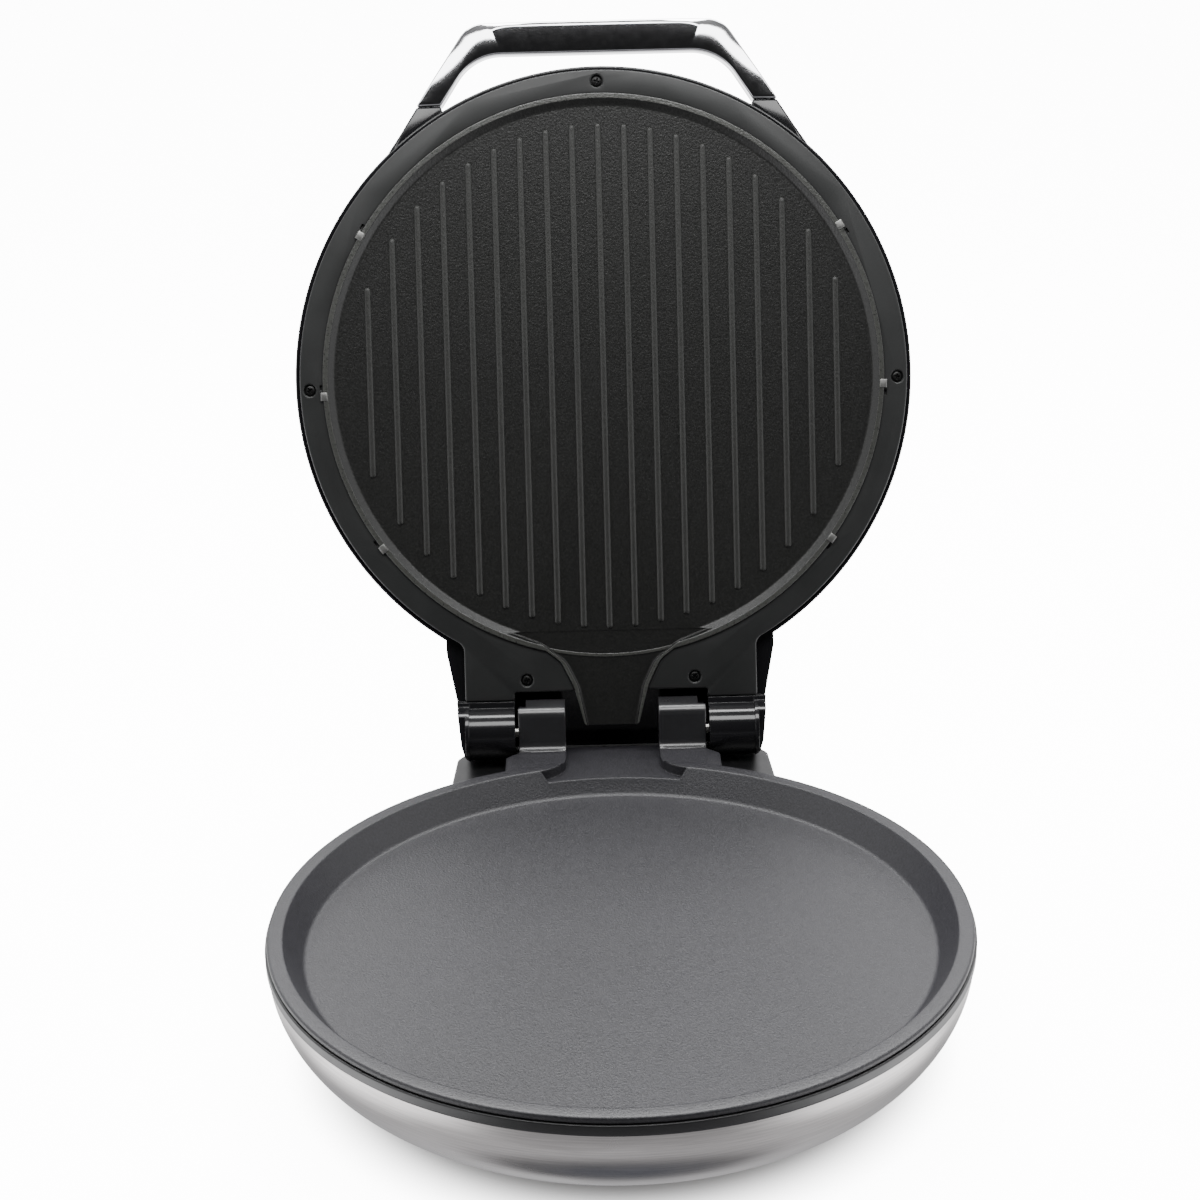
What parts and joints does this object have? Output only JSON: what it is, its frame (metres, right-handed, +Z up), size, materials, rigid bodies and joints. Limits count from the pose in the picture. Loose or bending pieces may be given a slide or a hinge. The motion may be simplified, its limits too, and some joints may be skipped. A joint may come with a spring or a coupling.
{
  "type": "round electric pizza maker",
  "caption": "Round tabletop electric pizza maker and contact grill: deep coated pan in a steel bowl, ribbed upper plate in a hinged lid with a bridge handle.",
  "frame": {"origin": "centre of the overall box at table height, with the lid open on its stop", "axes": "+Z up, +Y towards the hinge and the back, +X to the right seen from the front"},
  "size_m": [0.336, 0.4954, 0.4353],
  "materials": {
    "pan_coating": "fine speckled non-stick coating",
    "plate_coating": "matte non-stick coating",
    "matte_black": "fine matte",
    "black_plastic": "satin",
    "gloss_black": "gloss",
    "satin_steel": "satin",
    "chrome_plate": "mirror",
    "zinc_steel": "zinc plated",
    "black_steel": "black",
    "foot_rubber": "matte",
    "red_lens": "clear red",
    "green_lens": "clear green",
    "ceramic": "unglazed white",
    "heater_tube": "heat-stained",
    "bright_sheet": "bright"
  },
  "bodies": {
    "base": {"bottom_cover": "black_plastic", "bottom_screw_1": "zinc_steel", "bottom_screw_2": "zinc_steel", "bottom_screw_3": "zinc_steel", "bottom_screw_4": "zinc_steel", "cord_gland": "foot_rubber", "foot_1": "foot_rubber", "foot_2": "foot_rubber", "foot_3": "foot_rubber", "foot_4": "foot_rubber", "hinge_block": "black_plastic", "hinge_screw_left": "zinc_steel", "hinge_screw_right": "zinc_steel", "lower_element_clamp_1": "zinc_steel", "lower_element_clamp_2": "zinc_steel", "lower_element_clamp_3": "zinc_steel", "lower_heating_element": "heater_tube", "lower_housing": "satin_steel", "lower_pan": "pan_coating", "lower_reflector": "bright_sheet", "lower_thermal_fuse": "bright_sheet", "lower_thermostat": "ceramic", "lower_trim_ring": "black_plastic", "terminal_block": "ceramic"},
    "lid": {"handle": "chrome_plate", "handle_screw_left": "zinc_steel", "handle_screw_right": "zinc_steel", "hinge_pin_left": "zinc_steel", "hinge_pin_right": "zinc_steel", "lid_cover": "gloss_black", "lid_dome": "satin_steel", "lid_ring": "matte_black", "plate_clip_1": "zinc_steel", "plate_clip_2": "zinc_steel", "plate_clip_3": "zinc_steel", "plate_clip_4": "zinc_steel", "plate_clip_5": "zinc_steel", "plate_clip_6": "zinc_steel", "power_lamp": "red_lens", "ready_lamp": "green_lens", "ring_screw_1": "black_steel", "ring_screw_2": "black_steel", "ring_screw_3": "black_steel", "ring_screw_4": "black_steel", "ring_screw_5": "black_steel", "upper_element_clamp_1": "zinc_steel", "upper_element_clamp_2": "zinc_steel", "upper_element_clamp_3": "zinc_steel", "upper_heating_element": "heater_tube", "upper_plate": "plate_coating", "upper_reflector": "bright_sheet", "upper_thermal_fuse": "bright_sheet", "upper_thermostat": "ceramic"}
  },
  "joints": [
    {"name": "lid_hinge", "type": "hinge", "parent": "base", "child": "lid", "pos_m": [0, 0.11164, 0.0689], "axis": [1, 0, 0], "range_deg": [0, 108]}
  ]
}
